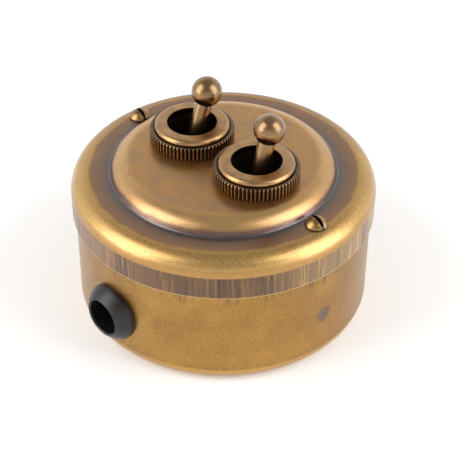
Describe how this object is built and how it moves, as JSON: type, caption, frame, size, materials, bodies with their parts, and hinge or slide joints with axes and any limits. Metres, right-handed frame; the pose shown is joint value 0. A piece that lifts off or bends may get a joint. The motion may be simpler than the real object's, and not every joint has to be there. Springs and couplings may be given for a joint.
{
  "type": "light switch",
  "caption": "Round surface light switch in aged brass with two ball-ended dollies in fluted rings, a stepped cover and a rubber cable grommet.",
  "frame": {"origin": "centre of the cup's flat back, where it meets the wall", "axes": "+Z leaves the wall, +X runs through the two dollies and the two cover screws, and the cable enters at -Y"},
  "size_m": [0.076, 0.0789, 0.0566],
  "materials": {
    "box_brass": "aged, brushed",
    "cover_brass": "aged, brushed",
    "ring_bronze": "dark, satin",
    "dolly_bronze": "dark, polished",
    "screw_brass": "aged",
    "inner_brass": "plain",
    "plated_steel": "zinc plated",
    "black_moulding": "gloss",
    "black_rubber": "matte",
    "plunger_nylon": "natural"
  },
  "bodies": {
    "root": {"back_box": "box_brass", "back_nut_left": "inner_brass", "back_nut_right": "inner_brass", "bush_left": "ring_bronze", "bush_right": "ring_bronze", "cable_grommet": "black_rubber", "common_terminal_left": "inner_brass", "common_terminal_right": "inner_brass", "cover": "cover_brass", "cover_lug_left": "inner_brass", "cover_lug_right": "inner_brass", "cover_screws": "screw_brass", "earth_screw": "screw_brass", "earth_terminal": "inner_brass", "far_terminal_left": "inner_brass", "far_terminal_right": "inner_brass", "fluted_ring_left": "ring_bronze", "fluted_ring_right": "ring_bronze", "frame_left": "plated_steel", "frame_right": "plated_steel", "lock_washer_left": "plated_steel", "lock_washer_right": "plated_steel", "near_terminal_left": "inner_brass", "near_terminal_right": "inner_brass", "pivot_pin_left": "plated_steel", "pivot_pin_right": "plated_steel", "switch_body_left": "black_moulding", "switch_body_right": "black_moulding", "terminal_screws": "inner_brass"},
    "dolly_left": {"dolly_left": "dolly_bronze", "spring_left": "plated_steel"},
    "plunger_left": {"plunger_left": "plunger_nylon"},
    "rocker_left": {"rocker_left": "inner_brass"},
    "dolly_right": {"dolly_right": "dolly_bronze", "spring_right": "plated_steel"},
    "plunger_right": {"plunger_right": "plunger_nylon"},
    "rocker_right": {"rocker_right": "inner_brass"}
  },
  "joints": [
    {"name": "dolly_left_throw", "type": "hinge", "parent": "root", "child": "dolly_left", "pos_m": [-0.01146, 0, 0.0379], "axis": [1, 0, 0], "range_deg": [0, 38.4]},
    {"name": "plunger_left_travel", "type": "slide", "parent": "dolly_left", "child": "plunger_left", "axis": [0, 0.3289, 0.9444], "range_m": [0, 0.0006], "stiffness_N_per_m": 800, "deforming": ["spring_left"]},
    {"name": "rocker_left_tilt", "type": "hinge", "parent": "root", "child": "rocker_left", "pos_m": [-0.01146, 0, 0.0243], "axis": [1, 0, 0], "range_deg": [-16, 0]},
    {"name": "dolly_right_throw", "type": "hinge", "parent": "root", "child": "dolly_right", "pos_m": [0.01146, 0, 0.0379], "axis": [1, 0, 0], "range_deg": [0, 30.8]},
    {"name": "plunger_right_travel", "type": "slide", "parent": "dolly_right", "child": "plunger_right", "axis": [0, 0.2656, 0.9641], "range_m": [0, 0.0006], "stiffness_N_per_m": 800, "deforming": ["spring_right"]},
    {"name": "rocker_right_tilt", "type": "hinge", "parent": "root", "child": "rocker_right", "pos_m": [0.01146, 0, 0.0243], "axis": [1, 0, 0], "range_deg": [-16, 0]}
  ],
  "couplings": [
    {"joint": "rocker_left_tilt", "follows": "dolly_left_throw", "ratio": -0.41667},
    {"joint": "rocker_right_tilt", "follows": "dolly_right_throw", "ratio": -0.51948}
  ]
}
